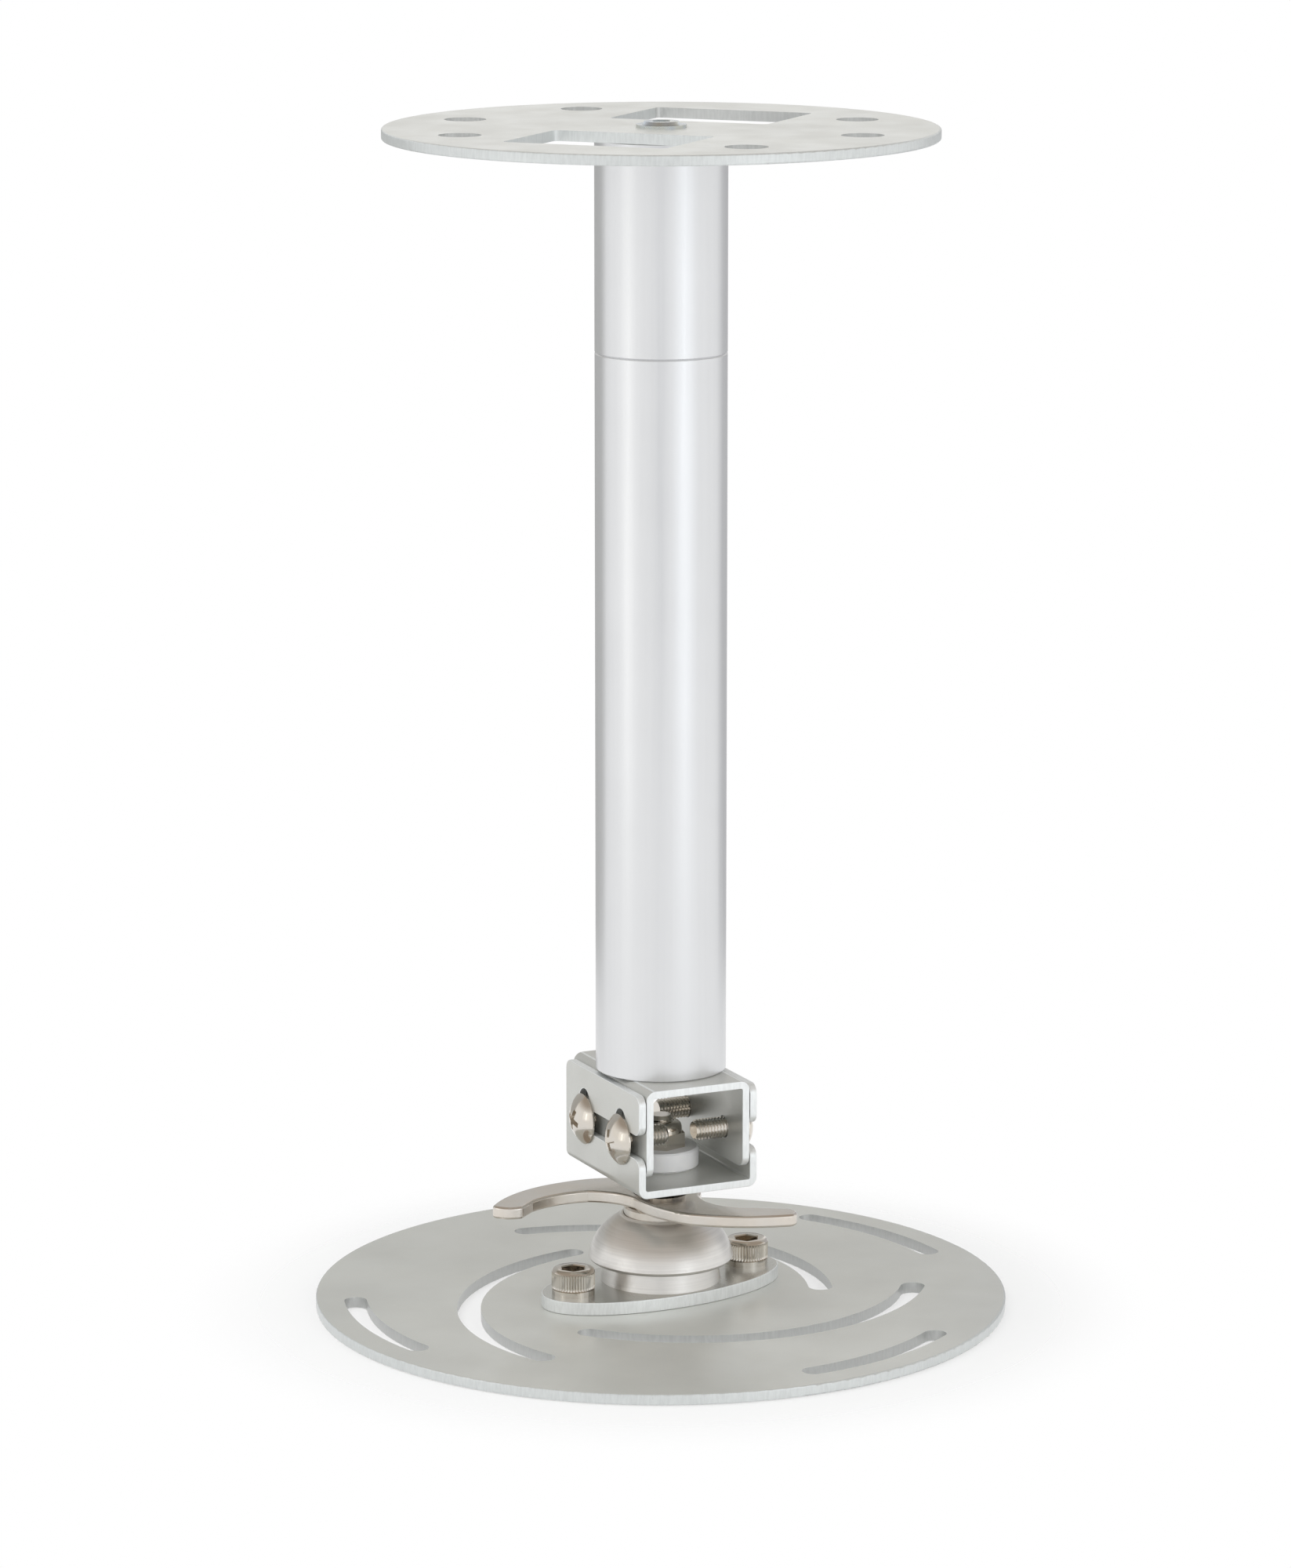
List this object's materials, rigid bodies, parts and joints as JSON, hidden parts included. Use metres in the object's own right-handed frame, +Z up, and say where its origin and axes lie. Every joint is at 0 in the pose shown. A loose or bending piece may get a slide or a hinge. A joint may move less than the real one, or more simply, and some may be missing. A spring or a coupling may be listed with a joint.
{
  "type": "projector ceiling mount",
  "caption": "Round ceiling plate on a silver tube, with hooked brackets and a clamped ball joint that carries a slotted round plate for a projector's arms.",
  "frame": {"origin": "middle of the projector plate's underside, on the tube's axis", "axes": "+Z up the tube to the ceiling plate, +X along the side screws, -Y to the open ends of the hooked slots"},
  "size_m": [0.16, 0.16, 0.2736],
  "materials": {
    "silver_paint": "satin silver paint",
    "satin_tube": "satin silver tube",
    "turned_aluminium": "turned and blasted",
    "nickel_plate": "nickel plated steel",
    "zinc_plate": "zinc plated steel",
    "white_nylon": "moulded nylon"
  },
  "bodies": {
    "column": {"ceiling_plate": "silver_paint", "ceiling_bolt": "zinc_plate", "upper_tube": "satin_tube", "lower_tube": "satin_tube", "top_plug": "zinc_plate", "bottom_plug": "zinc_plate", "tube_coupler": "zinc_plate", "bracket_washer": "zinc_plate", "bracket_bolt": "zinc_plate", "upper_bracket": "silver_paint", "side_screws": "nickel_plate"},
    "hook": {"lower_bracket": "silver_paint", "thrust_washer": "white_nylon", "swivel_bush": "white_nylon"},
    "stud": {"ball_stud": "nickel_plate", "swivel_nut": "nickel_plate"},
    "liner": {"ball_liner": "white_nylon"},
    "socket": {"ball_housing": "turned_aluminium", "ball_seat": "white_nylon", "flange_plate": "silver_paint", "cap_screws": "nickel_plate", "spring_washers": "nickel_plate", "projector_plate": "silver_paint"},
    "lever": {"clamp_lever": "nickel_plate", "clamp_ring": "nickel_plate"}
  },
  "joints": [
    {"name": "hook_drop", "type": "slide", "parent": "column", "child": "hook", "axis": [0, 0, -1], "range_m": [0, 0.0044]},
    {"name": "pan_swivel", "type": "hinge", "parent": "hook", "child": "stud", "pos_m": [0, 0, 0.03275], "axis": [0, 0, 1], "continuous": true},
    {"name": "tilt_fore", "type": "hinge", "parent": "stud", "child": "liner", "pos_m": [0, 0, 0.0126], "axis": [1, 0, 0], "range_deg": [-7.5, 7.5]},
    {"name": "tilt_side", "type": "hinge", "parent": "liner", "child": "socket", "pos_m": [0, 0, 0.0126], "axis": [0, 1, 0], "range_deg": [-7.5, 7.5]},
    {"name": "lever_turn", "type": "hinge", "parent": "socket", "child": "lever", "pos_m": [0, 0, 0.0233], "axis": [0, 0, 1], "range_deg": [0, 180]}
  ]
}
